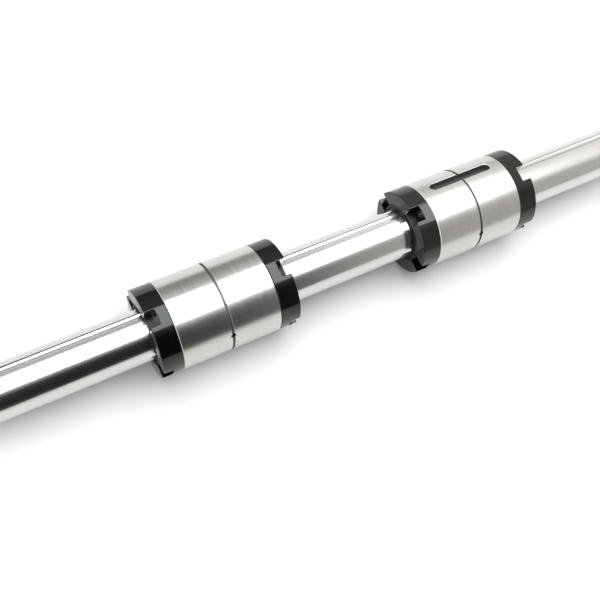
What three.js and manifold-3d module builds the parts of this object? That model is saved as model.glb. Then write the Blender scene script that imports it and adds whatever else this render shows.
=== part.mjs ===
// Ball spline: a ground shaft with two ball raceways and two cylindrical spline nuts that slide on it.
// Each nut is a steel body with a keyway, a ball retainer, two recirculating ball circuits,
// two plastic end caps held by four screws each, and two end seals.
// Units are millimetres. +X runs along the shaft, +Z is up, and the origin is the middle of the shaft's axis.
import * as THREE from "three";
import { mergeVertices } from "three/addons/utils/BufferGeometryUtils.js";
import Module from "manifold-3d";

// Shaft
const SHAFT_DIAMETER = 20;
const SHAFT_LENGTH = 300;
const SHAFT_CHAMFER = 1;
const RACEWAY_ANGLE = 60;
const RACEWAY_RADIUS = 1.65;
const ROW_RADIUS = 10.55;

// Nut
const NUT_DIAMETER = 35;
const BODY_LENGTH = 40;
const NUT_LENGTH = 56;
const NUT_OFFSET = 55.8;
const BODY_CHAMFER = 0.4;
const BODY_BORE_RADIUS = 12.9;
const OIL_GROOVE_WIDTH = 1;
const OIL_GROOVE_DEPTH = 0.5;
const OIL_HOLE_DIAMETER = 2;
const KEYWAY = { width: 4, length: 29, depth: 2.5 };

// Raceway lands inside the body
const LAND_WIDTH = 6.4;
const LAND_LENGTH = 34;
const LAND_RADIUS = 11.2;

// Ball circuits
const BALL_RADIUS = 1.45;
const BALLS_PER_CIRCUIT = 28;
const LINK_RADIUS = 0.45;
const CHANNEL_RADIUS = 1.8;
const RETURN_RADIUS = 12.6;
const RETURN_TURN = -34;
const ROW_HALF_LENGTH = 17.5;
const TURN_REACH = 3.5;

// Retainer
const RETAINER_INNER_RADIUS = 10.4;
const RETAINER_OUTER_RADIUS = 12.6;
const RETAINER_HALF_LENGTH = 23.6;

// End caps
const CAP_RADIUS = 17.4;
const CAP_EDGE = 0.5;
const CAP_FLANGE_RADIUS = 10.5;
const CAP_FLANGE_START = 23.9;
const SEAL_SEAT_START = 24.9;
const SEAL_SEAT_RADIUS = 12.1;
const NOTCH_WIDTH = 6.3;
const NOTCH_FLOOR = 24;
const NOTCH_ANGLE = 30;
const NOTCH_COUNT = 4;

// End seals
const SEAL = { inner: 10.35, outer: 11.8, start: 25.2, end: 27.7, lipRadius: 1.2 };

// Countersunk screws
const SCREW = {
  circle: 15.1, shank: 0.85, length: 8, head: 1.75, headHeight: 0.9, sink: 0.05,
  recess: 0.6, recessDepth: 0.5,
};

const GAP = 0.3;
const OVERCUT = 2;
const CHANNEL_LEAD = 0.1;
const MERGE_DISTANCE = 1e-4;

// Fineness of the rounds and of the curved paths
const ROUND_FACETS = 36;
const INNER_FACETS = 24;
const SMALL_FACETS = 8;
const HEX_FACETS = 6;
const LINK_FACETS = 3;
const ROW_STEPS = 14;
const TURN_STEPS = 12;
const CHANNEL_STEPS = 8;

const BODY_END = BODY_LENGTH / 2;
const NUT_END = NUT_LENGTH / 2;
const CAP_START = BODY_END + GAP;

const FINISH = {
  groundShaft: new THREE.MeshStandardMaterial({ color: 0xd6d6d2, roughness: 0.14, metalness: 1 }),
  satinSteel: new THREE.MeshStandardMaterial({ color: 0xb9b8b1, roughness: 0.34, metalness: 1 }),
  blackPlastic: new THREE.MeshStandardMaterial({ color: 0x17191b, roughness: 0.22, metalness: 0 }),
  palePlastic: new THREE.MeshStandardMaterial({ color: 0xd8d3c4, roughness: 0.45, metalness: 0 }),
  sealRubber: new THREE.MeshStandardMaterial({ color: 0x121314, roughness: 0.5, metalness: 0 }),
  bearingBall: new THREE.MeshStandardMaterial({ color: 0xe2e2e0, roughness: 0.06, metalness: 1 }),
  blackScrew: new THREE.MeshStandardMaterial({ color: 0x26272a, roughness: 0.3, metalness: 1 }),
};

const wasm = await Module();
wasm.setup();

const radians = THREE.MathUtils.degToRad;

// Radius of the corners of a round whose flats touch the given radius.
const corner = (radius, facets = ROUND_FACETS) => radius / Math.cos(Math.PI / facets);

// Turns a closed geometry into a solid for cutting and joining.
function solid(geometry) {
  const bare = geometry.index ? geometry.toNonIndexed() : geometry.clone();
  bare.deleteAttribute("normal");
  bare.deleteAttribute("uv");
  const merged = mergeVertices(bare, MERGE_DISTANCE);
  return new wasm.Manifold(new wasm.Mesh({
    numProp: 3,
    vertProperties: new Float32Array(merged.attributes.position.array),
    triVerts: new Uint32Array(merged.index.array),
  }));
}

// Turns a finished solid back into a geometry.
function geometryOf(shape) {
  const mesh = shape.getMesh();
  const geometry = new THREE.BufferGeometry();
  geometry.setAttribute("position", new THREE.BufferAttribute(new Float32Array(mesh.vertProperties), 3));
  geometry.setIndex(new THREE.BufferAttribute(new Uint32Array(mesh.triVerts), 1));
  geometry.computeVertexNormals();
  return geometry;
}

// A solid of revolution about X from [x, radius] points; a flat faces +Z.
function turned(points, facets = ROUND_FACETS) {
  const profile = points.map(([x, radius]) => new THREE.Vector2(radius, x));
  const geometry = new THREE.LatheGeometry(profile, facets, Math.PI / facets);
  geometry.rotateZ(-Math.PI / 2);
  return solid(geometry);
}

// A closed ring: the outer points run with X, the inner ones back. Its flats touch the given radii.
function turnedRing(outer, inner, facets = ROUND_FACETS) {
  const loop = [...outer, ...inner].map(([x, radius]) => [x, corner(radius, facets)]);
  return turned([...loop, loop[0]], facets);
}

// A rod along X whose axis lies at a radius and an angle from +Y towards +Z.
function rod(rodRadius, start, end, circle, angle, facets = SMALL_FACETS) {
  const edge = corner(rodRadius, facets);
  const geometry = new THREE.CylinderGeometry(edge, edge, end - start, facets);
  geometry.rotateZ(-Math.PI / 2);
  geometry.translate((start + end) / 2, circle * Math.cos(radians(angle)), circle * Math.sin(radians(angle)));
  return solid(geometry);
}

// A block that stands out from the axis, turned from +Z to the given angle.
function block(start, end, width, inner, outer, angle) {
  const geometry = new THREE.BoxGeometry(end - start, width, outer - inner);
  geometry.translate((start + end) / 2, 0, (inner + outer) / 2);
  geometry.rotateX(radians(angle - 90));
  return solid(geometry);
}

const cutAll = (shape, cutters) => cutters.reduce((left, cutter) => left.subtract(cutter), shape);
const joinAll = (shapes) => shapes.reduce((whole, shape) => whole.add(shape));

// In a nut's own frame the keyway and the first ball row are at 90 degrees.
const ROW_ANGLES = [90, 270];
const OIL_HOLE_ANGLES = [0, 180];
const NOTCH_ANGLES = Array.from({ length: NOTCH_COUNT }, (_, i) => NOTCH_ANGLE + i * 360 / NOTCH_COUNT);

// Point at a radius and an angle from +Y towards +Z.
const polar = (x, radius, angle) => (
  new THREE.Vector3(x, radius * Math.cos(radians(angle)), radius * Math.sin(radians(angle)))
);

// Centre line of the turn at one end of a circuit. A ball first rises out of the shaft's raceway,
// then swings round to the return row, so the lift runs ahead of the swing.
function turnPoints(side, rowAngle, steps) {
  return Array.from({ length: steps + 1 }, (_, i) => {
    const turn = Math.PI * i / steps;
    const lift = 1 - Math.max(0, 1 - 2 * turn / Math.PI) ** 2;
    const swing = (1 - Math.cos(turn)) / 2;
    const x = side * (ROW_HALF_LENGTH + TURN_REACH * Math.sin(turn));
    return polar(x, ROW_RADIUS + (RETURN_RADIUS - ROW_RADIUS) * lift, rowAngle + RETURN_TURN * swing);
  });
}

// Points between the two ends of a straight row, in the order of +X.
function rowPoints(radius, angle) {
  return Array.from({ length: ROW_STEPS - 1 }, (_, i) => (
    polar(ROW_HALF_LENGTH * (2 * (i + 1) / ROW_STEPS - 1), radius, angle)
  ));
}

// Channel that a turn's balls run in, swept along its centre line.
function turnChannel(side, rowAngle) {
  const lead = side * (LAND_LENGTH / 2 + CHANNEL_LEAD);
  const path = new THREE.CatmullRomCurve3([
    polar(lead, ROW_RADIUS, rowAngle),
    ...turnPoints(side, rowAngle, CHANNEL_STEPS),
    polar(lead, RETURN_RADIUS, rowAngle + RETURN_TURN),
  ]);
  const section = new THREE.Shape();
  section.absarc(0, 0, CHANNEL_RADIUS, 0, 2 * Math.PI, false);
  return solid(new THREE.ExtrudeGeometry(section, {
    extrudePath: path, steps: CHANNEL_STEPS, curveSegments: SMALL_FACETS / 2,
  }));
}

const turnChannels = () => ROW_ANGLES.flatMap((angle) => [-1, 1].map((side) => turnChannel(side, angle)));

// Straight channel of the balls on their way back.
const returnChannels = () => ROW_ANGLES.map((angle) => (
  rod(CHANNEL_RADIUS, -ROW_HALF_LENGTH, ROW_HALF_LENGTH, RETURN_RADIUS, angle + RETURN_TURN)
));

function shaftGeometry() {
  const half = SHAFT_LENGTH / 2;
  const radius = corner(SHAFT_DIAMETER / 2);
  const bar = turned([
    [-half, 0], [-half, radius - SHAFT_CHAMFER], [-half + SHAFT_CHAMFER, radius],
    [half - SHAFT_CHAMFER, radius], [half, radius - SHAFT_CHAMFER], [half, 0],
  ]);
  const raceways = [RACEWAY_ANGLE, RACEWAY_ANGLE + 180].map((angle) => (
    rod(RACEWAY_RADIUS, -half - OVERCUT, half + OVERCUT, ROW_RADIUS, angle)
  ));
  return geometryOf(cutAll(bar, raceways));
}

// Stadium-shaped keyway, cut from above in the nut's own frame.
function keywayCutter() {
  const floor = NUT_DIAMETER / 2 - KEYWAY.depth;
  const straight = (KEYWAY.length - KEYWAY.width) / 2;
  const outline = new THREE.Shape();
  outline.absarc(straight, 0, KEYWAY.width / 2, -Math.PI / 2, Math.PI / 2, false);
  outline.absarc(-straight, 0, KEYWAY.width / 2, Math.PI / 2, 3 * Math.PI / 2, false);
  const geometry = new THREE.ExtrudeGeometry(outline, {
    depth: KEYWAY.depth + OVERCUT, bevelEnabled: false, curveSegments: SMALL_FACETS / 2,
  });
  geometry.translate(0, 0, floor);
  return solid(geometry);
}

function oilHoleCutter(angle) {
  const radius = OIL_HOLE_DIAMETER / 2;
  const start = BODY_BORE_RADIUS - OVERCUT / 2;
  const stop = NUT_DIAMETER / 2 + OVERCUT;
  const geometry = new THREE.CylinderGeometry(radius, radius, stop - start, SMALL_FACETS);
  geometry.rotateX(Math.PI / 2);
  geometry.translate(0, 0, (start + stop) / 2);
  geometry.rotateX(radians(angle - 90));
  return solid(geometry);
}

function bodyGeometry() {
  const radius = NUT_DIAMETER / 2;
  const groove = OIL_GROOVE_WIDTH / 2;
  const sleeve = turnedRing([
    [-BODY_END, radius - BODY_CHAMFER], [-BODY_END + BODY_CHAMFER, radius],
    [-groove, radius], [-groove, radius - OIL_GROOVE_DEPTH],
    [groove, radius - OIL_GROOVE_DEPTH], [groove, radius],
    [BODY_END - BODY_CHAMFER, radius], [BODY_END, radius - BODY_CHAMFER],
  ], [[BODY_END, BODY_BORE_RADIUS], [-BODY_END, BODY_BORE_RADIUS]]);
  const lands = ROW_ANGLES.map((angle) => (
    block(-LAND_LENGTH / 2, LAND_LENGTH / 2, LAND_WIDTH, LAND_RADIUS, BODY_BORE_RADIUS + GAP, angle)
  ));
  const cuts = [
    keywayCutter(),
    ...OIL_HOLE_ANGLES.map(oilHoleCutter),
    ...ROW_ANGLES.map((angle) => rod(RACEWAY_RADIUS, -BODY_LENGTH, BODY_LENGTH, ROW_RADIUS, angle)),
    ...returnChannels(),
    ...turnChannels(),
    ...[-1, 1].flatMap((side) => NOTCH_ANGLES.map((angle) => screwHole(side, angle, BODY_END))),
  ];
  return geometryOf(cutAll(joinAll([sleeve, ...lands]), cuts));
}

// Clearance hole for a screw, from its tip past the given distance.
function screwHole(side, angle, end) {
  const tip = NOTCH_FLOOR - SCREW.length - GAP;
  const [start, stop] = side > 0 ? [tip, end + OVERCUT] : [-end - OVERCUT, -tip];
  return rod(SCREW.shank + GAP, start, stop, SCREW.circle, angle, HEX_FACETS);
}

function retainerGeometry() {
  const end = RETAINER_HALF_LENGTH;
  const sleeve = turnedRing(
    [[-end, RETAINER_OUTER_RADIUS], [end, RETAINER_OUTER_RADIUS]],
    [[end, RETAINER_INNER_RADIUS], [-end, RETAINER_INNER_RADIUS]],
    INNER_FACETS,
  );
  const window = LAND_LENGTH / 2 + GAP;
  const cuts = [
    ...ROW_ANGLES.map((angle) => (
      block(-window, window, LAND_WIDTH + 2 * GAP, SHAFT_DIAMETER / 2 - OVERCUT, NUT_DIAMETER / 2, angle)
    )),
    ...returnChannels(),
    ...turnChannels(),
  ];
  return geometryOf(cutAll(sleeve, cuts));
}

// The cap on the +X end of a nut.
function capGeometry() {
  const ring = turnedRing([
    [CAP_START, CAP_RADIUS], [NUT_END - CAP_EDGE, CAP_RADIUS], [NUT_END, CAP_RADIUS - CAP_EDGE],
  ], [
    [NUT_END, SEAL_SEAT_RADIUS], [SEAL_SEAT_START, SEAL_SEAT_RADIUS],
    [SEAL_SEAT_START, CAP_FLANGE_RADIUS], [CAP_FLANGE_START, CAP_FLANGE_RADIUS],
    [CAP_FLANGE_START, BODY_BORE_RADIUS], [CAP_START, BODY_BORE_RADIUS],
  ]);
  const cuts = [
    ...NOTCH_ANGLES.map((angle) => (
      block(NOTCH_FLOOR, NUT_END + OVERCUT, NOTCH_WIDTH, SEAL_SEAT_RADIUS, NUT_DIAMETER, angle)
    )),
    ...NOTCH_ANGLES.map((angle) => screwHole(1, angle, NOTCH_FLOOR)),
    ...NOTCH_ANGLES.map((angle) => turned(countersinkPoints(GAP), SMALL_FACETS).translate(screwPlace(angle))),
    ...turnChannels(),
  ];
  return geometryOf(cutAll(ring, cuts));
}

// Countersink cone, wider than the screw head by the given gap.
const countersinkPoints = (gap) => [
  [NOTCH_FLOOR - SCREW.headHeight - gap, 0], [NOTCH_FLOOR - SCREW.headHeight - gap, SCREW.shank],
  [NOTCH_FLOOR, SCREW.head + gap], [NOTCH_FLOOR + OVERCUT, SCREW.head + gap], [NOTCH_FLOOR + OVERCUT, 0],
];

// Where a screw's axis stands, across the nut.
const screwPlace = (angle) => polar(0, SCREW.circle, angle).toArray();

function screwGeometry(angle) {
  const top = NOTCH_FLOOR - SCREW.sink;
  const tip = NOTCH_FLOOR - SCREW.length;
  const screw = turned([
    [tip, 0], [tip, SCREW.shank], [top - SCREW.headHeight, SCREW.shank], [top, SCREW.head], [top, 0],
  ], SMALL_FACETS);
  const recess = turned([
    [top - SCREW.recessDepth, 0], [top - SCREW.recessDepth, SCREW.recess],
    [top + OVERCUT, SCREW.recess], [top + OVERCUT, 0],
  ], HEX_FACETS);
  return geometryOf(screw.subtract(recess).translate(screwPlace(angle)));
}

// End seal whose two lips run in the shaft's raceways.
function sealGeometry() {
  const ring = turnedRing(
    [[SEAL.start, SEAL.outer], [SEAL.end, SEAL.outer]],
    [[SEAL.end, SEAL.inner], [SEAL.start, SEAL.inner]],
    INNER_FACETS,
  );
  const lips = ROW_ANGLES.map((angle) => rod(SEAL.lipRadius, SEAL.start, SEAL.end, ROW_RADIUS, angle));
  return geometryOf(joinAll([ring, ...lips]));
}

// One circuit of balls, joined by thin links into a single bead chain.
function circuitGeometry(rowAngle) {
  const loop = new THREE.CatmullRomCurve3([
    ...rowPoints(ROW_RADIUS, rowAngle),
    ...turnPoints(1, rowAngle, TURN_STEPS),
    ...rowPoints(RETURN_RADIUS, rowAngle + RETURN_TURN).reverse(),
    ...turnPoints(-1, rowAngle, TURN_STEPS).reverse(),
  ], true);
  const centres = loop.getSpacedPoints(BALLS_PER_CIRCUIT).slice(0, -1);
  const balls = centres.map((centre) => {
    const ball = new THREE.IcosahedronGeometry(BALL_RADIUS);
    return solid(ball.translate(centre.x, centre.y, centre.z));
  });
  const links = centres.slice(1).map((centre, i) => linkBetween(centres[i], centre));
  return geometryOf(joinAll([...balls, ...links]));
}

function linkBetween(from, to) {
  const across = to.clone().sub(from);
  const geometry = new THREE.CylinderGeometry(LINK_RADIUS, LINK_RADIUS, across.length(), LINK_FACETS);
  const up = new THREE.Vector3(0, 1, 0);
  const turn = new THREE.Quaternion().setFromUnitVectors(up, across.clone().normalize());
  const middle = from.clone().add(to).multiplyScalar(0.5);
  geometry.applyQuaternion(turn);
  geometry.translate(middle.x, middle.y, middle.z);
  return solid(geometry);
}

function piece(name, geometry, material) {
  const mesh = new THREE.Mesh(geometry, material);
  mesh.name = name;
  return mesh;
}

// The same part on the -X end: the +X one mirrored across the nut's middle. Its faces are turned back outwards.
function mirrored(geometry) {
  const flipped = geometry.clone().scale(-1, 1, 1);
  const corners = flipped.index.array;
  for (let i = 0; i < corners.length; i += 3) {
    [corners[i + 1], corners[i + 2]] = [corners[i + 2], corners[i + 1]];
  }
  flipped.computeVertexNormals();
  return flipped;
}

// One nut with its middle at x and its keyway at the given angle from +Y towards +Z.
function nut(name, x, keywayAngle) {
  const group = new THREE.Group();
  group.position.x = x;
  group.rotation.x = radians(keywayAngle - 90);
  group.add(piece(`${name}_body`, bodyGeometry(), FINISH.satinSteel));
  group.add(piece(`${name}_retainer`, retainerGeometry(), FINISH.palePlastic));
  ["keyway_side", "far_side"].forEach((side, i) => {
    group.add(piece(`${name}_ball_circuit_${side}`, circuitGeometry(ROW_ANGLES[i]), FINISH.bearingBall));
  });
  const ends = { left: mirrored, right: (geometry) => geometry };
  for (const [end, place] of Object.entries(ends)) {
    group.add(piece(`${name}_${end}_cap`, place(capGeometry()), FINISH.blackPlastic));
    group.add(piece(`${name}_${end}_seal`, place(sealGeometry()), FINISH.sealRubber));
    NOTCH_ANGLES.forEach((angle, i) => {
      group.add(piece(`${name}_${end}_cap_screw_${i + 1}`, place(screwGeometry(angle)), FINISH.blackScrew));
    });
  }
  return group;
}

const spline = new THREE.Group();
spline.add(piece("spline_shaft", shaftGeometry(), FINISH.groundShaft));
spline.add(nut("nut_a", -NUT_OFFSET, RACEWAY_ANGLE + 180));
spline.add(nut("nut_b", NUT_OFFSET, RACEWAY_ANGLE));

export default spline;
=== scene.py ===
"""Ball spline: a ground shaft with two raceways and two cylindrical nuts that slide on it.

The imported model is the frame. Finer surfaces stand for all its solids but the two ball retainers. They are
worked out in millimetres, a nut's in its own frame: X runs along the shaft, the keyway is at 90 degrees from
+Y towards +Z and the nut's middle is at x = 0. They are put in their place in metres.
"""
import logging
import math
from dataclasses import dataclass, field
from enum import Enum

import bpy
import numpy as np
from mathutils import Matrix, Vector


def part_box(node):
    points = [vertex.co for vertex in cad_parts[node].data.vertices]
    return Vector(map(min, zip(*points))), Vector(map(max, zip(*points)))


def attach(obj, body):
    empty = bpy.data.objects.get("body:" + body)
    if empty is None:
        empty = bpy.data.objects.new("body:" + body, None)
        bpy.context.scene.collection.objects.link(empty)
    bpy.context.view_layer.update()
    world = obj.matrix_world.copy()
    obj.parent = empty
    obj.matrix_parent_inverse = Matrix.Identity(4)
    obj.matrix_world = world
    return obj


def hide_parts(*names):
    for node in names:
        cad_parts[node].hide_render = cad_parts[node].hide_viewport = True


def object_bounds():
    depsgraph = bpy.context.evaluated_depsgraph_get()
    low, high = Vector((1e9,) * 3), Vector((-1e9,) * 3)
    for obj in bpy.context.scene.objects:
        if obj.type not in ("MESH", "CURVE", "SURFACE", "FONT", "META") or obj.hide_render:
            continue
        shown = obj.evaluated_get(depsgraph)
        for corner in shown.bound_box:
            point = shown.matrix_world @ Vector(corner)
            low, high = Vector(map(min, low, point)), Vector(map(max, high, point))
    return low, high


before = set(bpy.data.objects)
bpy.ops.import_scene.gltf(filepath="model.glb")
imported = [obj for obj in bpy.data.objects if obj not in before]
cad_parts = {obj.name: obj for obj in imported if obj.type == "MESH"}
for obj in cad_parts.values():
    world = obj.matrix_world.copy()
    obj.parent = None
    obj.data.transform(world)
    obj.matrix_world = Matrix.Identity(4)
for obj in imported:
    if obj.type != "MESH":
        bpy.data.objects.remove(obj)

LOG = logging.getLogger("ball_spline")
MM = 0.001
CAD_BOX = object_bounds()

# How far a cutter runs past what it cuts, in millimetres.
OVERCUT = 1.0
# A face is part of a round wall if its corners' distances from the axis differ by less than this, in metres,
# and if the cosine between its normal and the way out from the axis is more than this.
ROUND_WALL_SPREAD = 3e-6
ROUND_WALL_COSINE = 0.99

Array = np.ndarray


class End(Enum):
    """The two ends of a nut, by the sign of X."""

    LEFT = -1
    RIGHT = 1


class Cut(Enum):
    """How one solid changes another."""

    REMOVE = "DIFFERENCE"
    ADD = "UNION"


# ---------------------------------------------------------------- surfaces


@dataclass
class Surface:
    """A closed surface in millimetres.

    Args:
        points: Vertex places, one row each.
        faces: Vertex numbers of each face.
    """

    points: Array
    faces: list[list[int]]

    def mirrored(self) -> "Surface":
        """The same surface across the plane x = 0, with its faces turned back outwards."""
        return Surface(self.points * np.array([-1.0, 1.0, 1.0]), [face[::-1] for face in self.faces])

    def placed(self, x: float, angle: float) -> "Surface":
        """The surface turned about X and then moved along it.

        Args:
            x: Distance to move, in millimetres.
            angle: Turn about X from +Y towards +Z, in degrees.

        Returns:
            A new surface: y' = y cos a - z sin a and z' = y sin a + z cos a.
        """
        turn = math.radians(angle)
        y, z = self.points[:, 1], self.points[:, 2]
        turned = np.column_stack([
            self.points[:, 0] + x,
            y * math.cos(turn) - z * math.sin(turn),
            y * math.sin(turn) + z * math.cos(turn),
        ])
        return Surface(turned, self.faces)


def polar(x: Array, radius: Array, angle: Array) -> Array:
    """Points at a radius and an angle from +Y towards +Z: (x, r cos a, r sin a).

    Args:
        x: Places along the shaft, in millimetres.
        radius: Distances from the axis, in millimetres.
        angle: Angles in degrees.

    Returns:
        Points whose last axis is x, y, z.
    """
    turn = np.radians(angle)
    return np.stack(np.broadcast_arrays(x, radius * np.cos(turn), radius * np.sin(turn)), axis=-1)


def enclosed(points: Array, quads: Array) -> float:
    """Six times the signed volume within quads: a . (b x c) summed over both triangles of each."""
    a, b, c, d = (points[quads[:, k]] for k in range(4))
    return float(np.sum(a * np.cross(b, c)) + np.sum(a * np.cross(c, d)))


def skin(rows: Array, joined: bool) -> Surface:
    """A surface over a grid whose rows are closed loops.

    Face (i, j) joins points (i, j), (i, j + 1), (i + 1, j + 1) and (i + 1, j), and columns wrap round. The
    faces are turned to face outwards by the sign of the volume that they enclose.

    Args:
        rows: Grid of points, row by row.
        joined: Whether the last row joins the first. If not, both end rows are closed by a flat face.

    Returns:
        The closed surface.
    """
    count, around = rows.shape[:2]
    points = rows.reshape(-1, 3)
    i, j = np.meshgrid(np.arange(count if joined else count - 1), np.arange(around), indexing="ij")
    below, above, beside = i * around, (i + 1) % count * around, (j + 1) % around
    quads = np.stack([below + j, below + beside, above + beside, above + j], axis=-1).reshape(-1, 4)
    faces = quads.tolist()
    if not joined:
        faces += [list(range(around))[::-1], list(range((count - 1) * around, count * around))]
    centred = points - points.mean(axis=0)
    if enclosed(centred, quads) < 0:
        faces = [face[::-1] for face in faces]
    return Surface(points, faces)


def ring(profile: list[tuple[float, float]], around: int) -> Surface:
    """A closed profile carried round the axis: (x, r cos a, r sin a).

    Args:
        profile: Corners of x and radius.
        around: Points in each loop.

    Returns:
        The solid ring.
    """
    x, radius = np.array(profile).T
    angles = np.arange(around) * 360 / around
    return skin(polar(x[:, None], radius[:, None], angles[None, :]), joined=True)


def spindle(profile: list[tuple[float, float]], around: int, radius: float = 0, angle: float = 0) -> Surface:
    """An open (x, radius) profile carried round its own axis, which lies off the shaft's.

    Args:
        profile: Stations of x and radius, from one flat end to the other.
        around: Points in each loop.
        radius: Distance of its axis from the shaft's, in millimetres.
        angle: Angle at which its axis lies, in degrees.

    Returns:
        The solid of revolution, moved off to its place.
    """
    x, reach = np.array(profile).T
    loops = polar(x[:, None], reach[:, None], np.arange(around)[None, :] * 360 / around)
    return skin(loops + polar(np.zeros(1), np.array([radius]), np.array([angle])), joined=False)


def standing(outlines: list[Array], heights: list[float], angle: float) -> Surface:
    """Flat outlines stacked up outwards from the axis.

    Args:
        outlines: An outline of (x, sideways) points for each height.
        heights: Distance of each outline from the axis, in millimetres.
        angle: Direction in which they stand, in degrees.

    Returns:
        The solid through the outlines, with +Z turned to the angle.
    """
    rows = np.stack([
        np.column_stack([outline, np.full(len(outline), height)])
        for outline, height in zip(outlines, heights)
    ])
    return skin(rows, joined=False).placed(0, angle - 90)


def oblong(length: float, width: float, steps: int) -> Array:
    """Outline with round ends: two half circles of radius w/2 whose centres are l - w apart.

    Args:
        length: Length over the round ends.
        width: Width, which is the round ends' diameter.
        steps: Points in each half circle.

    Returns:
        Points of x and sideways, in order round the outline.
    """
    turn = np.linspace(-90, 90, steps)
    right = np.column_stack([np.cos(np.radians(turn)), np.sin(np.radians(turn))]) * width / 2
    right[:, 0] += (length - width) / 2
    return np.vstack([right, -right])


def rectangle(start: float, end: float, width: float) -> Array:
    """Four corners of a rectangle from start to end along X, centred sideways."""
    half = width / 2
    return np.array([[start, -half], [end, -half], [end, half], [start, half]])


def tube(path: Array, radius: float, around: int) -> Surface:
    """A round section carried along a path.

    The tangent t is the path's gradient. The section's axes are u, which is the outward direction with its
    part along t taken away, and v = t x u, and its points are p + r (u cos a + v sin a).

    Args:
        path: Points of the centre line, in millimetres.
        radius: Radius of the section.
        around: Points in each loop.

    Returns:
        The capped tube.
    """
    tangent = np.gradient(path, axis=0)
    tangent /= np.linalg.norm(tangent, axis=1, keepdims=True)
    outward = path * np.array([0.0, 1.0, 1.0])
    u = outward - tangent * np.sum(outward * tangent, axis=1, keepdims=True)
    u /= np.linalg.norm(u, axis=1, keepdims=True)
    v = np.cross(tangent, u)
    a = (np.arange(around) * 2 * np.pi / around)[:, None]
    offsets = u[:, None] * np.cos(a) + v[:, None] * np.sin(a)
    return skin(path[:, None] + radius * offsets, joined=False)


def to_mesh(surface: Surface, name: str, scale: float) -> bpy.types.Mesh:
    """The surface as a Blender mesh.

    Args:
        surface: The surface.
        name: The mesh's name.
        scale: Number that each length is multiplied by.

    Returns:
        The new mesh.
    """
    mesh = bpy.data.meshes.new(name)
    mesh.from_pydata((surface.points * scale).tolist(), [], surface.faces)
    mesh.update()
    return mesh


def from_mesh(mesh: bpy.types.Mesh) -> Surface:
    """The vertices and faces of a Blender mesh, read in whole arrays.

    Args:
        mesh: The mesh.

    Returns:
        A surface in the mesh's own units.
    """
    points = np.empty(len(mesh.vertices) * 3)
    mesh.vertices.foreach_get("co", points)
    corners = np.empty(len(mesh.loops), dtype=np.int64)
    mesh.loops.foreach_get("vertex_index", corners)
    starts = np.empty(len(mesh.polygons), dtype=np.int64)
    mesh.polygons.foreach_get("loop_start", starts)
    return Surface(points.reshape(-1, 3), [part.tolist() for part in np.split(corners, starts[1:])])


def carved(blank: Surface, changes: list[tuple[Cut, Surface]]) -> Surface:
    """A solid after others have been added to it and taken from it, in order.

    Args:
        blank: The solid to start from.
        changes: What is done with each of the other solids.

    Returns:
        The finished solid, in millimetres like the blank.
    """
    body = bpy.data.objects.new("blank", to_mesh(blank, "blank", 1))
    bpy.context.scene.collection.objects.link(body)
    tools = []
    for cut, surface in changes:
        tool = bpy.data.objects.new("tool", to_mesh(surface, "tool", 1))
        bpy.context.scene.collection.objects.link(tool)
        step = body.modifiers.new("step", "BOOLEAN")
        step.operation = cut.value
        step.solver = "MANIFOLD"
        step.object = tool
        tools.append(tool)
    bpy.context.view_layer.update()
    done = bpy.data.meshes.new_from_object(body.evaluated_get(bpy.context.evaluated_depsgraph_get()))
    result = from_mesh(done)
    bpy.data.meshes.remove(done)
    for item in [body, *tools]:
        spare = item.data
        bpy.data.objects.remove(item)
        bpy.data.meshes.remove(spare)
    return result


def shade(mesh: bpy.types.Mesh, crease: float = 30) -> None:
    """Smooths a mesh up to a crease angle and gives its round walls the true normal.

    A face whose corners all lie at one radius from the shaft's axis, and which faces towards or away from it,
    is part of a round wall. There the normal is (0, y, z) / r, with the face's own sign. Others are kept.

    Args:
        mesh: The mesh, in metres and in its place along the shaft.
        crease: Angle between faces past which an edge is sharp, in degrees.
    """
    mesh.polygons.foreach_set("use_smooth", np.ones(len(mesh.polygons), dtype=bool))
    mesh.set_sharp_from_angle(angle=math.radians(crease))
    surface = from_mesh(mesh)
    corners = np.concatenate([np.array(face) for face in surface.faces])
    sizes = np.array([len(face) for face in surface.faces])
    starts = np.concatenate([[0], np.cumsum(sizes)[:-1]])
    normals = np.empty(len(sizes) * 3)
    mesh.polygons.foreach_get("normal", normals)
    normals = np.repeat(normals.reshape(-1, 3), sizes, axis=0)
    radial = surface.points[corners] * np.array([0.0, 1.0, 1.0])
    radius = np.linalg.norm(radial, axis=1)
    radial /= np.maximum(radius, 1e-9)[:, None]
    spread = np.maximum.reduceat(radius, starts) - np.minimum.reduceat(radius, starts)
    along = np.sum(radial * normals, axis=1)
    facing = np.minimum.reduceat(np.abs(along), starts) > ROUND_WALL_COSINE
    round_wall = np.repeat((spread < ROUND_WALL_SPREAD) & facing, sizes)
    mesh.normals_split_custom_set((radial * np.sign(along)[:, None] * round_wall[:, None]).tolist())


# ---------------------------------------------------------------- finishes


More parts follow.
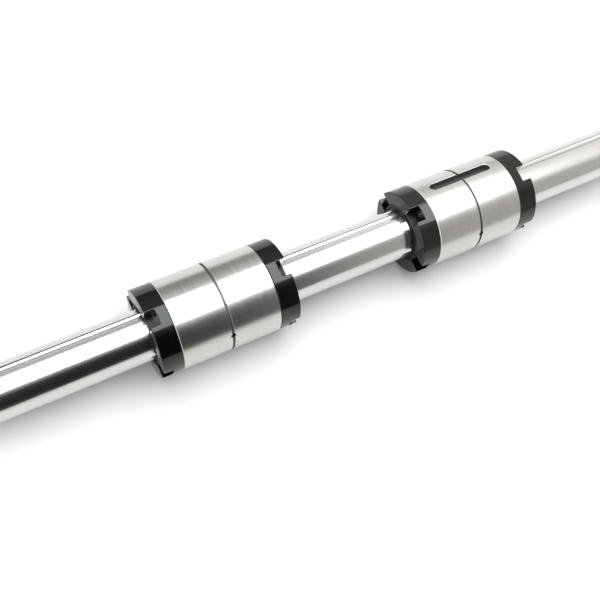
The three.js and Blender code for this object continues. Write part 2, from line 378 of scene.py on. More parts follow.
class Nodes:
    """Adds and joins the nodes of one tree."""

    def __init__(self, tree: bpy.types.NodeTree) -> None:
        """Keeps the tree that the nodes go in."""
        self.tree = tree

    def add(self, kind: str, **settings: object) -> bpy.types.Node:
        """Adds a node.

        Args:
            kind: The node's type.
            settings: Properties of the node.

        Returns:
            The new node.
        """
        node = self.tree.nodes.new(kind)
        for name, value in settings.items():
            setattr(node, name, value)
        return node

    def feed(self, socket: bpy.types.NodeSocket, value: object) -> None:
        """Links another node's output to a socket, or sets the socket's own value.

        Args:
            socket: The socket to feed.
            value: Another node's output, or a plain value.
        """
        if isinstance(value, bpy.types.NodeSocket):
            self.tree.links.new(value, socket)
        else:
            socket.default_value = value

    def math(self, operation: str, *values: object) -> bpy.types.NodeSocket:
        """The result of one sum.

        Args:
            operation: The Math node's operation.
            values: Numbers or sockets, in the node's order.

        Returns:
            The result.
        """
        node = self.add("ShaderNodeMath", operation=operation)
        for socket, value in zip(node.inputs, values):
            self.feed(socket, value)
        return node.outputs[0]

    def scaled(self, vector: object, x: object, y: object, z: object) -> bpy.types.NodeSocket:
        """A vector with each of its parts multiplied by its own number.

        Args:
            vector: The vector's socket.
            x: Number or socket for X.
            y: Number or socket for Y.
            z: Number or socket for Z.

        Returns:
            The scaled vector.
        """
        by = self.add("ShaderNodeCombineXYZ")
        for socket, value in zip(by.inputs, (x, y, z)):
            self.feed(socket, value)
        product = self.add("ShaderNodeVectorMath", operation="MULTIPLY")
        self.feed(product.inputs[0], vector)
        self.feed(product.inputs[1], by.outputs[0])
        return product.outputs[0]

    def noise(self, vector: object, scale: object, detail: float) -> bpy.types.NodeSocket:
        """Smooth noise from 0 to 1.

        Args:
            vector: Socket of the place that it is read at.
            scale: Number or socket by which the place is multiplied.
            detail: Octaves of finer noise.

        Returns:
            The noise.
        """
        node = self.add("ShaderNodeTexNoise")
        self.feed(node.inputs["Vector"], vector)
        self.feed(node.inputs["Scale"], scale)
        node.inputs["Detail"].default_value = detail
        return node.outputs[0]

    def spread(self, value: object, low: object, high: object, start: float,
               end: float) -> bpy.types.NodeSocket:
        """Goes smoothly from low to high as a value goes from start to end.

        Args:
            value: The value's socket.
            low: Number or socket given at the start and before it.
            high: Number or socket given at the end and past it.
            start: Value at which it starts.
            end: Value at which it ends.

        Returns:
            The spread value.
        """
        node = self.add("ShaderNodeMapRange", interpolation_type="SMOOTHSTEP")
        for socket, item in zip(node.inputs, (value, start, end, low, high)):
            self.feed(socket, item)
        return node.outputs[0]

    def tinted(self, colour: object, shade_by: object) -> bpy.types.NodeSocket:
        """A colour with each of its channels multiplied by one value.

        Args:
            colour: The colour's socket.
            shade_by: Number or socket that multiplies it.

        Returns:
            The changed colour.
        """
        node = self.add("ShaderNodeVectorMath", operation="SCALE")
        self.feed(node.inputs[0], colour)
        self.feed(node.inputs["Scale"], shade_by)
        return node.outputs[0]


def new_group(name: str, numbers: list[str], outputs: list[str]) -> tuple[Nodes, dict, bpy.types.Node]:
    """Starts a shader group that reads a vector and a colour besides its numbers.

    Args:
        name: The group's name.
        numbers: Names of its number inputs.
        outputs: Names of its number outputs, which come after its colour output.

    Returns:
        The group's nodes, its inputs by name, and its output node.
    """
    tree = bpy.data.node_groups.new(name, "ShaderNodeTree")
    tree.interface.new_socket(name="Vector", in_out="INPUT", socket_type="NodeSocketVector")
    tree.interface.new_socket(name="Colour", in_out="INPUT", socket_type="NodeSocketColor")
    for item in numbers:
        tree.interface.new_socket(name=item, in_out="INPUT", socket_type="NodeSocketFloat")
    tree.interface.new_socket(name="Colour", in_out="OUTPUT", socket_type="NodeSocketColor")
    for item in outputs:
        tree.interface.new_socket(name=item, in_out="OUTPUT", socket_type="NodeSocketFloat")
    nodes = Nodes(tree)
    inputs = {socket.name: socket for socket in nodes.add("NodeGroupInput").outputs if socket.name}
    return nodes, inputs, nodes.add("NodeGroupOutput")


def ground_lines() -> bpy.types.NodeTree:
    """Fine lines left by a grinding wheel, and the faint smears of handling.

    Noise is stretched by taking it at (x Across, y Along, z Along), so lines run round the part where Across
    is much the larger. Below Radius from the shaft's axis, in the recesses of the barrel and on all that lies
    deeper, painted shade darkens the colour by the Recess input over a third of a millimetre, and the milled
    steel there gets rougher by a third of that.

    Returns:
        The group, with outputs Colour, Roughness and Height.
    """
    nodes, inputs, out = new_group(
        "Ground lines", ["Across", "Along", "Roughness", "Contrast", "Smears", "Radius", "Recess"],
        ["Roughness", "Height"])
    recess_shade_depth, milled_roughness = (0.00008, 0.0004), 0.33
    line_range, smear_scale = (0.3, 0.7), 55.0
    axial = nodes.add("ShaderNodeVectorMath", operation="LENGTH")
    nodes.feed(axial.inputs[0], nodes.scaled(inputs["Vector"], 0.0, 1.0, 1.0))
    depth = nodes.math("SUBTRACT", inputs["Radius"], axial.outputs["Value"])
    # Painted shade: below Radius the colour is darkened by up to the Recess input, and the same mask makes
    # the milled steel rougher.
    recess_shade = nodes.math("MULTIPLY", nodes.spread(depth, 0.0, 1.0, *recess_shade_depth), inputs["Recess"])
    stretched = nodes.scaled(inputs["Vector"], inputs["Across"], inputs["Along"], inputs["Along"])
    lines = nodes.noise(stretched, 1.0, 5)
    smears = nodes.math("SUBTRACT", nodes.noise(inputs["Vector"], smear_scale, 3), 0.5)
    dark = nodes.math("SUBTRACT", 1.0, inputs["Contrast"])
    shaded = nodes.tinted(inputs["Colour"], nodes.spread(lines, dark, 1.0, *line_range))
    nodes.feed(out.inputs["Colour"], nodes.tinted(shaded, nodes.math("SUBTRACT", 1.0, recess_shade)))
    rough = nodes.math("MULTIPLY_ADD", smears, inputs["Smears"], inputs["Roughness"])
    rough = nodes.math("MULTIPLY_ADD", recess_shade, milled_roughness, rough)
    nodes.feed(out.inputs["Roughness"], nodes.math("MULTIPLY_ADD", lines, inputs["Contrast"], rough))
    nodes.feed(out.inputs["Height"], lines)
    return nodes.tree


def moulded_grain() -> bpy.types.NodeTree:
    """The fine grain of a moulding tool, with dust caught in it.

    Returns:
        The group, with outputs Colour, Roughness and Height.
    """
    nodes, inputs, out = new_group(
        "Moulded grain", ["Scale", "Roughness", "Spread", "Dust"], ["Roughness", "Height"])
    patch_scale, dust_range = 140.0, (0.5, 0.8)
    grain = nodes.noise(inputs["Vector"], inputs["Scale"], 4)
    patches = nodes.noise(inputs["Vector"], patch_scale, 3)
    dusty = nodes.math("MULTIPLY", nodes.spread(patches, 0.0, 1.0, *dust_range), inputs["Dust"])
    nodes.feed(out.inputs["Colour"], nodes.tinted(inputs["Colour"], nodes.math("ADD", dusty, 1.0)))
    swing = nodes.math("SUBTRACT", patches, 0.5)
    rough = nodes.math("MULTIPLY_ADD", swing, inputs["Spread"], inputs["Roughness"])
    nodes.feed(out.inputs["Roughness"], rough)
    nodes.feed(out.inputs["Height"], grain)
    return nodes.tree


@dataclass(frozen=True)
class Finish:
    """What a surface is made of and how it was left.

    Args:
        slot: The record's material slot.
        colour: Base colour, linear.
        roughness: Mean roughness.
        metallic: 1 for bare metal and 0 for anything else.
        bump: Strength of the fine relief.
        relief: Height of the fine relief, in metres.
        coat: Weight of a clear layer such as oil.
        gloss: Strength of the reflection where it isn't metal, 0.5 being plain plastic.
    """

    slot: str
    colour: tuple[float, float, float]
    roughness: float
    metallic: float = 0.0
    bump: float = 0.1
    relief: float = 0.00001
    coat: float = 0.0
    gloss: float = 0.5

    def effect(self) -> tuple[str, dict[str, float]]:
        """The shared effect that it uses, and that effect's inputs."""
        raise NotImplementedError

    def material(self, effects: dict[str, bpy.types.NodeTree]) -> bpy.types.Material:
        """Builds the material.

        Args:
            effects: The shared shader groups by name.

        Returns:
            A material on object coordinates.
        """
        material = bpy.data.materials.new(self.slot)
        material.use_nodes = True
        nodes = Nodes(material.node_tree)
        surface = material.node_tree.nodes["Principled BSDF"]
        name, values = self.effect()
        effect = nodes.add("ShaderNodeGroup", node_tree=effects[name])
        nodes.feed(effect.inputs["Vector"], nodes.add("ShaderNodeTexCoord").outputs["Object"])
        effect.inputs["Colour"].default_value = (*self.colour, 1)
        for key, value in values.items():
            effect.inputs[key].default_value = value
        relief = nodes.add("ShaderNodeBump")
        relief.inputs["Strength"].default_value = self.bump
        relief.inputs["Distance"].default_value = self.relief
        nodes.feed(relief.inputs["Height"], effect.outputs["Height"])
        nodes.feed(surface.inputs["Base Color"], effect.outputs["Colour"])
        nodes.feed(surface.inputs["Roughness"], effect.outputs["Roughness"])
        nodes.feed(surface.inputs["Normal"], relief.outputs["Normal"])
        surface.inputs["Metallic"].default_value = self.metallic
        surface.inputs["Coat Weight"].default_value = self.coat
        surface.inputs["Specular IOR Level"].default_value = self.gloss
        return material


@dataclass(frozen=True)
class GroundSteel(Finish):
    """Steel finished by a grinding wheel, and milled below a radius from the shaft's axis, where painted
    shade darkens it.
    """

    across: float = 5000.0
    along: float = 60.0
    contrast: float = 0.08
    smears: float = 0.05
    radius: float = 0.0
    # Strength of the painted shade that darkens the steel below radius.
    recess: float = 0.0

    def effect(self) -> tuple[str, dict[str, float]]:
        """Ground lines, at this steel's spacing."""
        return "ground", {
            "Across": self.across, "Along": self.along, "Roughness": self.roughness,
            "Contrast": self.contrast, "Smears": self.smears, "Radius": self.radius, "Recess": self.recess,
        }


@dataclass(frozen=True)
class Moulded(Finish):
    """Plastic or rubber as it left its tool."""

    grain: float = 4000.0
    spread: float = 0.1
    dust: float = 0.6

    def effect(self) -> tuple[str, dict[str, float]]:
        """Moulded grain, at this material's scale."""
        return "moulded", {
            "Scale": self.grain, "Roughness": self.roughness, "Spread": self.spread, "Dust": self.dust,
        }


FINISHES = [
    GroundSteel("ground_shaft", (0.63, 0.63, 0.61), 0.16, 1.0, 0.08, 0.000004, across=7000.0, along=60.0,
                contrast=0.05, smears=0.025),
    # Below its radius, the nut body is darkened with painted shade in the keyway, groove, holes, ends and
    # bore.
    GroundSteel("satin_steel", (0.585, 0.58, 0.557), 0.20, 1.0, 0.12, 0.000005, across=6000.0, along=70.0,
                contrast=0.10, smears=0.04, radius=0.0175, recess=0.78),
    GroundSteel("bearing_ball", (0.82, 0.82, 0.81), 0.05, 1.0, 0.02, 0.000002, across=1500.0, along=1500.0,
                contrast=0.02, smears=0.02),
    GroundSteel("black_screw", (0.26, 0.262, 0.268), 0.16, 1.0, 0.1, 0.000005, across=2500.0, along=2500.0,
                contrast=0.10, smears=0.10, coat=0.6),
    Moulded("black_plastic", (0.0014, 0.0015, 0.0019), 0.10, 0.0, 0.04, 0.000005, gloss=0.45),
    Moulded("pale_plastic", (0.72, 0.69, 0.60), 0.45, 0.0, 0.15, 0.00001, dust=0.1),
    Moulded("seal_rubber", (0.003, 0.003, 0.0035), 0.42, 0.0, 0.2, 0.00001, gloss=0.25, grain=2600.0),
]


class Finishes:
    """Every material of the part, by the record's slot."""

    def __init__(self) -> None:
        """Builds the shared effects once and each material from them."""
        effects = {"ground": ground_lines(), "moulded": moulded_grain()}
        self.by_slot = {finish.slot: finish.material(effects) for finish in FINISHES}

    def dress(self, piece: bpy.types.Object, slot: str) -> None:
        """Gives a new piece the material of a slot."""
        piece.data.materials.append(self.by_slot[slot])

    def dress_node(self, node: str, slot: str) -> None:
        """Gives a node that is kept from the frame the material of a slot."""
        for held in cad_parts[node].material_slots:
            held.material = self.by_slot[slot]


def stand_for(surface: Surface, node: str, body: str, slot: str, finishes: Finishes) -> bpy.types.Object:
    """Puts a finished surface in a node's place.

    Args:
        surface: The surface in its place along the shaft, in millimetres.
        node: The node that it stands for.
        body: The body that it moves with.
        slot: Its material slot.
        finishes: The part's materials.

    Returns:
        The new piece.
    """
    mesh = to_mesh(surface, f"{node}_finished", MM)
    shade(mesh)
    piece = bpy.data.objects.new(f"{node}_finished", mesh)
    bpy.context.scene.collection.objects.link(piece)
    finishes.dress(piece, slot)
    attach(piece, body)
    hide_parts(node)
    LOG.info("%s: %d faces, rides on %s", piece.name, len(mesh.polygons), body)
    return piece


# ---------------------------------------------------------------- shaft


@dataclass
class Raceway:
    """The groove in the shaft that a row of balls runs in, in millimetres and degrees."""

    groove_radius: float = 1.65
    row_radius: float = 10.55
    shaft_radius: float = 10.0
    edge: float = 0.02
    half_angle: float = 11.0

    def section(self, offset: Array) -> Array:
        """Radius of the shaft's surface near a raceway.

        The groove's wall, seen from the shaft's axis, is at c cos a - sqrt(g^2 - c^2 sin^2 a), where c is the
        row's radius and g the groove's. The shaft is the smaller of that and its own radius, and the edge
        between them is eased by the soft minimum -k ln(exp(-p/k) + exp(-q/k)).

        Args:
            offset: Angle from the middle of the groove, in degrees.

        Returns:
            The surface's radius at each angle.
        """
        turn = np.radians(offset)
        inside = self.groove_radius ** 2 - (self.row_radius * np.sin(turn)) ** 2
        wall = self.row_radius * np.cos(turn) - np.sqrt(np.maximum(inside, 0))
        wall = np.where((inside > 0) & (np.cos(turn) > 0), wall, self.shaft_radius + 1)
        depth = (self.shaft_radius - wall) / self.edge
        return self.shaft_radius - self.edge * np.logaddexp(0, depth)


@dataclass
class Shaft:
    """The spline shaft."""

    node: str = "spline_shaft"
    body: str = "shaft"
    raceway: Raceway = field(default_factory=Raceway)
    angles: tuple[float, float] = (60.0, 240.0)
    bevel: float = 1.0
    coarse: int = 240
    fine: int = 90

    def radius_at(self, angle: Array) -> Array:
        """Radius of the shaft's section at each angle: the smaller of what its raceways leave."""
        offsets = [(angle - middle + 180) % 360 - 180 for middle in self.angles]
        return np.minimum.reduce([self.raceway.section(offset) for offset in offsets])

    def sampled(self) -> Array:
        """Angles round the section, closer together across the raceways.

        Returns:
            The angles in degrees, from 0 up to 360.
        """
        reach = self.raceway.half_angle
        even = np.arange(self.coarse) * 360 / self.coarse
        close = [middle + np.linspace(-reach, reach, self.fine) for middle in self.angles]
        return np.unique(np.round(np.concatenate([even, *close]) % 360, 4))

    def surface(self) -> Surface:
        """The section carried along X, held within a cone at each end: r = min(section(a), limit(x)).

        Returns:
            The shaft's surface.
        """
        low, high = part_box(self.node)
        start, end = low[0] / MM, high[0] / MM
        radius = self.raceway.shaft_radius
        x = np.array([start, start + self.bevel, end - self.bevel, end])
        limit = np.array([radius - self.bevel, radius, radius, radius - self.bevel])
        angles = self.sampled()
        section = np.minimum(self.radius_at(angles)[None, :], limit[:, None])
        return skin(polar(x[:, None], section, angles[None, :]), joined=False)

    def build(self, finishes: Finishes) -> None:
        """Builds the shaft and puts it in its node's place."""
        stand_for(self.surface(), self.node, self.body, "ground_shaft", finishes)


# ---------------------------------------------------------------- nuts


@dataclass
class Circuit:
    """The path of one recirculating row of balls, in millimetres and degrees."""

    half_length: float = 17.5
    row_radius: float = 10.55
    return_radius: float = 12.6
    swing: float = -34.0
    reach: float = 3.5
    channel: float = 1.8
    lead: float = 1.0
    ball_radius: float = 1.5875
    balls: int = 28
    row_steps: int = 60
    turn_steps: int = 80
    channel_steps: int = 17
    ball_rings: int = 7
    ball_pole: float = 4.0

    def turn(self, row_angle: float, end: End, steps: int) -> Array:
        """Centre line of the turn at one end.

        With t from 0 to pi, x is half + reach sin t. The radius rises early, by 1 - max(0, 1 - 2t/pi)^2, and
        the angle swings by (1 - cos t) / 2, so a ball is clear of the shaft before it moves round.

        Args:
            row_angle: Angle of the loaded row.
            end: The end of the nut.
            steps: Number of points.

        Returns:
            Points from the loaded row to the return row.
        """
        t = np.linspace(0, np.pi, steps)
        lift = 1 - np.maximum(0, 1 - 2 * t / np.pi) ** 2
        radius = self.row_radius + (self.return_radius - self.row_radius) * lift
        x = end.value * (self.half_length + self.reach * np.sin(t))
        return polar(x, radius, row_angle + self.swing * (1 - np.cos(t)) / 2)

    def channel_tube(self, row_angle: float, end: End) -> Surface:
        """Channel of one turn, which reaches a little way along both rows.

        Args:
            row_angle: Angle of the loaded row.
            end: The end of the nut.

        Returns:
            The cutter.
        """
        bend = self.turn(row_angle, end, self.channel_steps)
        lead = np.array([end.value * self.lead, 0.0, 0.0])
        return tube(np.vstack([bend[:1] - lead, bend, bend[-1:] - lead]), self.channel, 20)

    def return_channel(self, row_angle: float) -> Surface:
        """Straight channel of the return row."""
        ends = [(-self.half_length, self.channel), (self.half_length, self.channel)]
        return spindle(ends, 24, self.return_radius, row_angle + self.swing)

    def centres(self, row_angle: float) -> Array:
        """Middles of the balls, evenly spaced by length along the closed path.

        Args:
            row_angle: Angle of the loaded row.

        Returns:
            A point for each ball.
        """
        ramp = np.linspace(-self.half_length, self.half_length, self.row_steps)[1:-1]
        path = np.vstack([
            polar(ramp, self.row_radius, row_angle),
            self.turn(row_angle, End.RIGHT, self.turn_steps),
            polar(ramp[::-1], self.return_radius, row_angle + self.swing),
            self.turn(row_angle, End.LEFT, self.turn_steps)[::-1],
        ])
        path = np.vstack([path, path[:1]])
        length = np.concatenate([[0], np.cumsum(np.linalg.norm(np.diff(path, axis=0), axis=1))])
        wanted = np.arange(self.balls) * length[-1] / self.balls
        return np.column_stack([np.interp(wanted, length, path[:, k]) for k in range(3)])

    def surface(self, row_angle: float) -> Surface:
        """All the balls of the circuit.

        Each is the ball's radius times (-cos b, sin b cos a, sin b sin a), where b is the angle from one pole
        and a the angle round it, and is closed at both poles by a small flat face.

        Args:
            row_angle: Angle of the loaded row.

        Returns:
            One surface of separate balls.
        """
        b = np.radians(np.linspace(self.ball_pole, 180 - self.ball_pole, self.ball_rings))
        profile = np.column_stack([-np.cos(b), np.sin(b)]) * self.ball_radius
        ball = spindle(profile.tolist(), 10)
        centres = self.centres(row_angle)
        points = (ball.points[None] + centres[:, None]).reshape(-1, 3)
        faces = [[k * len(ball.points) + i for i in face] for k in range(self.balls) for face in ball.faces]
        return Surface(points, faces)


@dataclass
class Screw:
    """A countersunk screw with a hexagon socket, in millimetres."""

    circle: float = 15.1
    shank: float = 0.85
    head: float = 1.75
    head_height: float = 0.9
    length: float = 8.0
    socket: float = 0.72
    socket_depth: float = 0.6
    clearance: float = 0.15
    sunk: float = 0.05
    point: float = 0.2
    rim: tuple[float, float] = (0.15, 0.04)
    rim_edge: float = 0.06
    mouth: tuple[float, float] = (0.08, 0.12)
    seat: tuple[float, float] = (0.08, 0.28)
    seat_reach: float = 0.1
    tip_gap: float = 0.3

    def surface(self, floor: float, angle: float) -> Surface:
        """The screw with its head just below a floor, on its circle.

        Args:
            floor: Place of the floor along the shaft.
            angle: Angle of the screw round the shaft, in degrees.

        Returns:
            The screw with its socket cut.
        """
        top, tip = floor - self.sunk, floor - self.length
        low_rim, high_rim = self.rim
        inner, outer = self.mouth
        body = spindle([
            (tip, self.shank - self.point), (tip + self.point, self.shank),
            (top - self.head_height, self.shank),
            (top - low_rim, self.head), (top - high_rim, self.head), (top, self.head - self.rim_edge),
        ], 40, self.circle, angle)
        socket = spindle([
            (top - self.socket_depth, self.socket), (top - inner, self.socket),
            (top + outer, self.socket + inner + outer),
        ], 6, self.circle, angle)
        return carved(body, [(Cut.REMOVE, socket)])

    def hole(self, floor: float, angle: float) -> Surface:
        """Clearance hole under a floor, past the screw's tip.

        Args:
            floor: Place of the floor along the shaft.
            angle: Angle of the hole round the shaft, in degrees.

        Returns:
            The cutter.
        """
        wide = self.shank + self.clearance
        ends = [(floor - self.length - self.tip_gap, wide), (floor + OVERCUT, wide)]
        return spindle(ends, 20, self.circle, angle)

    def countersink(self, floor: float, angle: float) -> Surface:
        """Cone that the head sits in, eased at its rim.

        Args:
            floor: Place of the floor along the shaft.
            angle: Angle of the cone round the shaft, in degrees.

        Returns:
            The cutter.
        """
        foot = floor - self.head_height - self.clearance
        inner, outer = (self.head + gap for gap in self.seat)
        profile = [(foot, self.shank), (floor - self.seat_reach, inner), (floor + self.seat_reach, outer)]
        return spindle(profile, 40, self.circle, angle)


@dataclass
class Keyway:
    """The round-ended keyway, in millimetres."""

    length: float = 29.0
    width: float = 4.0
    depth: float = 2.5
    bevel: float = 0.3
    bevel_depth: float = 0.22

    def cutter(self, surface_radius: float) -> Surface:
        """Oblong that stands in the barrel and widens at its top by the bevel.

        Args:
            surface_radius: The barrel's radius.

        Returns:
            The cutter.
        """
        sizes = [0.0, 0.0, 2 * self.bevel]
        outlines = [oblong(self.length + extra, self.width + extra, 24) for extra in sizes]
        bevel_foot = surface_radius - self.bevel_depth
        return standing(outlines, [surface_radius - self.depth, bevel_foot, bevel_foot + self.bevel], 90)


@dataclass
class Nut:
    """One spline nut.

    Args:
        name: Name of its body, which its nodes' names start with.
        keyway_angle: Angle of its keyway, in degrees.
    """

    name: str
    keyway_angle: float
    radius: float = 17.5
    body_end: float = 20.0
    end: float = 28.0
    edge: float = 0.4
    bore: float = 12.9
    groove_width: float = 1.0
    groove_depth: float = 0.5
    groove_lip: float = 0.06
    hole_radius: float = 1.0
    hole_lip: float = 0.15
    land: tuple[float, float, float] = (17.0, 6.4, 11.2)
    land_root: float = 0.3
    cap_radius: float = 17.4
    cap_gap: float = 0.03
    cap_edge: float = 0.12
    cap_rim: float = 0.35
    cap_bore_edge: float = 0.25
    seat_radius: float = 12.1
    seat_start: float = 24.9
    seal_gap: float = 0.05
    lip_gap: float = 0.06
    flange: tuple[float, float] = (23.9, 10.5)
    notch_floor: float = 24.0
    notch_width: float = 6.3
    notch_edge: float = 0.25
    around: int = 256
    row_angles: tuple[float, float] = (90.0, 270.0)
    hole_angles: tuple[float, float] = (0.0, 180.0)
    notch_angles: tuple[float, ...] = (30.0, 120.0, 210.0, 300.0)
    circuit: Circuit = field(default_factory=Circuit)
    screw: Screw = field(default_factory=Screw)
    keyway: Keyway = field(default_factory=Keyway)
    raceway: Raceway = field(default_factory=Raceway)

    def middle(self) -> float:
        """Place of the nut's middle along the shaft, from its body's box, in millimetres."""
        low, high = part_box(f"{self.name}_body")
        return (low[0] + high[0]) / 2 / MM

    def put(self, surface: Surface, part: str, slot: str, finishes: Finishes) -> None:
        """Places a surface made in the nut's own frame and lets it stand for one of the nut's nodes."""
        placed = surface.placed(self.middle(), self.keyway_angle - 90)
        stand_for(placed, f"{self.name}_{part}", self.name, slot, finishes)

    def barrel(self) -> Surface:
        """The steel sleeve, with its oil groove, before anything is cut.

        Returns:
            The sleeve, as a profile carried round the axis.
        """
        half, lip = self.groove_width / 2, self.groove_lip
        floor = self.radius - self.groove_depth
        right = [
            (half, floor), (half, self.radius - lip), (half + lip, self.radius),
            (self.body_end - self.edge, self.radius), (self.body_end, self.radius - self.edge),
        ]
        left = [(-x, r) for x, r in reversed(right)]
        bore = [(self.body_end, self.bore), (-self.body_end, self.bore)]
        return ring(left + right + bore, self.around)

    def oil_hole(self, angle: float) -> Surface:
        """Radial hole that widens slightly where it meets the barrel.

        Args:
            angle: Direction of the hole, in degrees.

        Returns:
            The cutter, a stack of circles.
        """
        turn = np.linspace(0, 2 * np.pi, 40, endpoint=False)
        unit = np.column_stack([np.cos(turn), np.sin(turn)])
        reach = [self.hole_radius, self.hole_radius, self.hole_radius + 2 * self.hole_lip]
        heights = [self.bore - OVERCUT, self.radius - self.hole_lip, self.radius + self.hole_lip]
        return standing([unit * size for size in reach], heights, angle)

    def body_surface(self) -> Surface:
        """The sleeve with its lands added and its keyway, holes, raceways and channels cut.

        Returns:
            The body's surface.
        """
        half, width, foot = self.land
        block = rectangle(-half, half, width)
        heights = [foot, self.bore + self.land_root]
        changes = [(Cut.ADD, standing([block, block], heights, a)) for a in self.row_angles]
        reach = self.body_end + 2 * OVERCUT
        rod = [(-reach, self.raceway.groove_radius), (reach, self.raceway.groove_radius)]
        cutters = [self.keyway.cutter(self.radius)]
        cutters += [self.oil_hole(a) for a in self.hole_angles]
        cutters += [spindle(rod, 32, self.raceway.row_radius, a) for a in self.row_angles]
        cutters += [self.circuit.return_channel(a) for a in self.row_angles]
        cutters += [self.circuit.channel_tube(a, end) for a in self.row_angles for end in End]
        holes = [self.screw.hole(self.notch_floor, a) for a in self.notch_angles]
        cutters += holes + [hole.mirrored() for hole in holes]
        return carved(self.barrel(), changes + [(Cut.REMOVE, cutter) for cutter in cutters])

    def notch(self, angle: float) -> list[Surface]:
        """Cutters of one notch: the slot, and wedges that break its edges at the end face and the barrel.

        Args:
            angle: Direction of the notch, in degrees.

        Returns:
            The slot and both wedges.
        """
        floor, width, ease = self.notch_floor, self.notch_width, self.notch_edge
        past = self.end + OVERCUT
        foot, top = self.seat_radius - OVERCUT / 2, self.cap_radius + OVERCUT
        slot = rectangle(floor, past, width)
        outer = rectangle(floor - 2 * ease, past, width + 4 * ease)
        mouth = np.array([
            [self.end - ease, -width / 2], [past, -width / 2 - past + self.end - ease],
            [past, width / 2 + past - self.end + ease], [self.end - ease, width / 2],
        ])
        lip = self.cap_radius - ease
        return [
            standing([slot, slot], [foot, top], angle),
            standing([slot, outer], [lip, lip + 2 * ease], angle),
            standing([mouth, mouth], [foot, top], angle),
        ]

    def cap_surface(self) -> Surface:
        """The end cap of the +X end, with four notches and their countersunk holes.

        Returns:
            The cap's surface.
        """
        turn = np.radians(np.linspace(90, 0, 6))
        rim, edge, inner = self.cap_rim, self.cap_edge, self.cap_bore_edge
        corner = [
            (self.end - rim + rim * math.cos(t), self.cap_radius - rim + rim * math.sin(t)) for t in turn
        ]
        start = self.body_end + self.cap_gap
        flange_start, flange_radius = self.flange
        profile = [
            (start, self.cap_radius - edge), (start + edge, self.cap_radius), *corner,
            (self.end, self.seat_radius + inner), (self.end - inner, self.seat_radius),
            (self.seat_start, self.seat_radius), (self.seat_start, flange_radius),
            (flange_start, flange_radius), (flange_start, self.bore), (start, self.bore),
        ]
        cutters = [cutter for a in self.notch_angles for cutter in self.notch(a)]
        cutters += [self.screw.hole(self.notch_floor, a) for a in self.notch_angles]
        cutters += [self.screw.countersink(self.notch_floor, a) for a in self.notch_angles]
        cutters += [self.circuit.channel_tube(a, End.RIGHT) for a in self.row_angles]
        return carved(ring(profile, self.around), [(Cut.REMOVE, cutter) for cutter in cutters])

    def seal_surface(self) -> Surface:
        """The end seal of the +X end.

        It is a profile carried round the axis. The lip follows the shaft's section, raceways and all, with a
        little clearance, so r = profile + (section(a) - shaft radius) there and r = profile elsewhere.

        Returns:
            The seal's surface.
        """
        lip = self.raceway.shaft_radius + self.lip_gap
        outer = self.seat_radius - self.seal_gap
        # Each corner is x, radius and whether it is part of the lip.
        profile = np.array([
            (25.0, outer, 0), (27.45, outer, 0), (27.6, outer - 0.15, 0), (27.6, 11.2, 0), (27.15, 10.95, 0),
            (27.3, lip + 0.1, 1), (27.2, lip, 1), (26.9, lip, 1), (26.5, 10.5, 0), (25.0, 10.5, 0),
        ])
        shaft = Shaft(angles=self.row_angles)
        angles = shaft.sampled()
        dip = shaft.radius_at(angles) - self.raceway.shaft_radius
        radius = profile[:, 1:2] + profile[:, 2:3] * dip[None, :]
        return skin(polar(profile[:, 0:1], radius, angles[None, :]), joined=True)

    def build(self, finishes: Finishes) -> None:
        """Builds every piece of the nut and puts each in its node's place.

        Args:
            finishes: The part's materials.
        """
        self.put(self.body_surface(), "body", "satin_steel", finishes)
        for side, angle in zip(("keyway_side", "far_side"), self.row_angles):
            self.put(self.circuit.surface(angle), f"ball_circuit_{side}", "bearing_ball", finishes)
        cap, seal = self.cap_surface(), self.seal_surface()
        screws = [self.screw.surface(self.notch_floor, a) for a in self.notch_angles]
        for end in End:
            word = end.name.lower()
            ends = [shape.mirrored() if end is End.LEFT else shape for shape in [cap, seal, *screws]]
            self.put(ends[0], f"{word}_cap", "black_plastic", finishes)
            self.put(ends[1], f"{word}_seal", "seal_rubber", finishes)
            for number, screw in enumerate(ends[2:], start=1):
                self.put(screw, f"{word}_cap_screw_{number}", "black_screw", finishes)
        finishes.dress_node(f"{self.name}_retainer", "pale_plastic")
        LOG.info("%s is complete", self.name)


# ---------------------------------------------------------------- studio


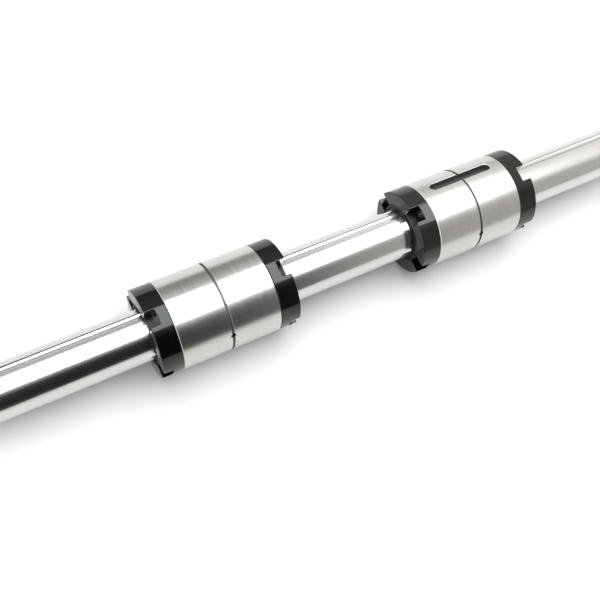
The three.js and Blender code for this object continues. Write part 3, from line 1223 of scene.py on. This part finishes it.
@dataclass
class Studio:
    """A pale floor, a large soft light overhead and a dim room, in metres."""

    floor_half: float = 3.0
    floor_drop: float = 0.0001
    floor_colour: tuple[float, float, float] = (0.55, 0.546, 0.538)
    floor_roughness: float = 0.75
    floor_gloss: float = 0.2
    light_place: tuple[float, float, float] = (0.15, 0.225, 1.0)
    light_size: tuple[float, float] = (1.1, 1.05)
    light_power: float = 20.0
    light_colour: tuple[float, float, float] = (0.93, 0.97, 1.0)
    room_colour: tuple[float, float, float] = (1.0, 1.0, 0.985)
    wall: float = 1.6
    left_wall: tuple[float, float] = (-0.75, -0.15)
    right_wall: tuple[float, float] = (0.62, 0.95)
    dim: tuple[float, float] = (0.01, 0.57)
    dim_reach: tuple[float, float] = (0.27, 0.45)
    behind: tuple[float, float] = (0.24, 0.55)
    behind_rise: tuple[float, float] = (0.05, 0.75)
    bright_edge: float = 115.0
    edge_reach: tuple[float, float] = (-0.2, 0.2)
    backdrop: float = 0.9
    camera_place: tuple[float, float, float] = (-0.13073, -0.07588, 0.30892)
    camera_aim: tuple[float, float, float] = (-0.02378, -0.01019, 0.0)
    camera_roll: float = -26.213
    camera_lens: float = 51.658

    def floor(self) -> None:
        """A plain pale floor that the barrels rest on."""
        half, height = self.floor_half, CAD_BOX[0][2] - self.floor_drop
        mesh = bpy.data.meshes.new("floor")
        corners = [(-half, -half, height), (half, -half, height), (half, half, height), (-half, half, height)]
        mesh.from_pydata(corners, [], [(0, 1, 2, 3)])
        piece = bpy.data.objects.new("floor", mesh)
        bpy.context.scene.collection.objects.link(piece)
        material = bpy.data.materials.new("floor")
        material.use_nodes = True
        surface = material.node_tree.nodes["Principled BSDF"]
        surface.inputs["Base Color"].default_value = (*self.floor_colour, 1)
        surface.inputs["Roughness"].default_value = self.floor_roughness
        surface.inputs["Specular IOR Level"].default_value = self.floor_gloss
        mesh.materials.append(material)

    def light(self) -> None:
        """The soft light, which faces straight down."""
        lamp = bpy.data.lights.new("soft_light", "AREA")
        lamp.shape = "RECTANGLE"
        lamp.size, lamp.size_y = self.light_size
        lamp.energy = self.light_power
        lamp.color = self.light_colour
        item = bpy.data.objects.new("soft_light", lamp)
        item.location = self.light_place
        bpy.context.scene.collection.objects.link(item)

    def room(self) -> None:
        """The room round the part, by direction.

        It is dim in front, less so towards +X, brighter behind the part and upwards, and has a bright wall
        at either end. Its strength is dim(x) + lit behind(z) + left(x) + right(x), where lit is 1 on the side
        away from the camera and 0 on the camera's. Where the camera sees it directly it is a plain backdrop.
        """
        world = bpy.data.worlds.new("room")
        bpy.context.scene.world = world
        world.use_nodes = True
        nodes = Nodes(world.node_tree)
        direction = nodes.add("ShaderNodeTexCoord").outputs["Generated"]
        edge = math.radians(self.bright_edge)
        across = nodes.add("ShaderNodeVectorMath", operation="DOT_PRODUCT")
        nodes.feed(across.inputs[0], direction)
        across.inputs[1].default_value = (0, math.sin(edge), -math.cos(edge))
        parts = nodes.add("ShaderNodeSeparateXYZ")
        nodes.feed(parts.inputs[0], direction)
        x = parts.outputs["X"]
        dim = nodes.spread(x, *self.dim, *self.dim_reach)
        lit = nodes.spread(across.outputs["Value"], 0.0, 1.0, *self.edge_reach)
        behind = nodes.spread(parts.outputs["Z"], *self.behind, *self.behind_rise)
        left = nodes.spread(x, self.wall, 0.0, *self.left_wall)
        right = nodes.spread(x, 0.0, self.wall, *self.right_wall)
        rest = nodes.math("ADD", dim, nodes.math("ADD", left, right))
        strength = nodes.math("MULTIPLY_ADD", lit, behind, rest)
        background = world.node_tree.nodes["Background"]
        background.inputs["Color"].default_value = (*self.room_colour, 1)
        seen = nodes.add("ShaderNodeLightPath").outputs["Is Camera Ray"]
        change = nodes.math("SUBTRACT", self.backdrop, strength)
        nodes.feed(background.inputs["Strength"], nodes.math("MULTIPLY_ADD", seen, change, strength))

    def camera(self) -> None:
        """The camera, given by its place, the point that it looks at and its roll from +Y upright."""
        place = Vector(self.camera_place)
        ahead = (Vector(self.camera_aim) - place).normalized()
        level = ahead.cross(Vector((0, 1, 0))).normalized()
        roll = math.radians(self.camera_roll)
        right = math.cos(roll) * level + math.sin(roll) * level.cross(ahead)
        up = right.cross(ahead)
        lens = bpy.data.cameras.new("camera")
        lens.lens = self.camera_lens
        item = bpy.data.objects.new("camera", lens)
        turn = Matrix((right, up, -ahead)).transposed()
        item.matrix_world = Matrix.Translation(place) @ turn.to_4x4()
        bpy.context.scene.collection.objects.link(item)
        bpy.context.scene.camera = item

    def build(self) -> None:
        """Sets up the floor, the light, the room and the camera."""
        self.floor()
        self.light()
        self.room()
        self.camera()
        bpy.context.scene.view_settings.view_transform = "Standard"


def main() -> None:
    """Builds the studio, the shaft and both nuts, in that order."""
    logging.basicConfig(level=logging.INFO, format="%(message)s")
    Studio().build()
    finishes = Finishes()
    shaft = Shaft()
    shaft.build(finishes)
    near, far = shaft.angles
    for nut in (Nut("nut_a", keyway_angle=far), Nut("nut_b", keyway_angle=near)):
        nut.build(finishes)


if __name__ == "__main__":
    main()
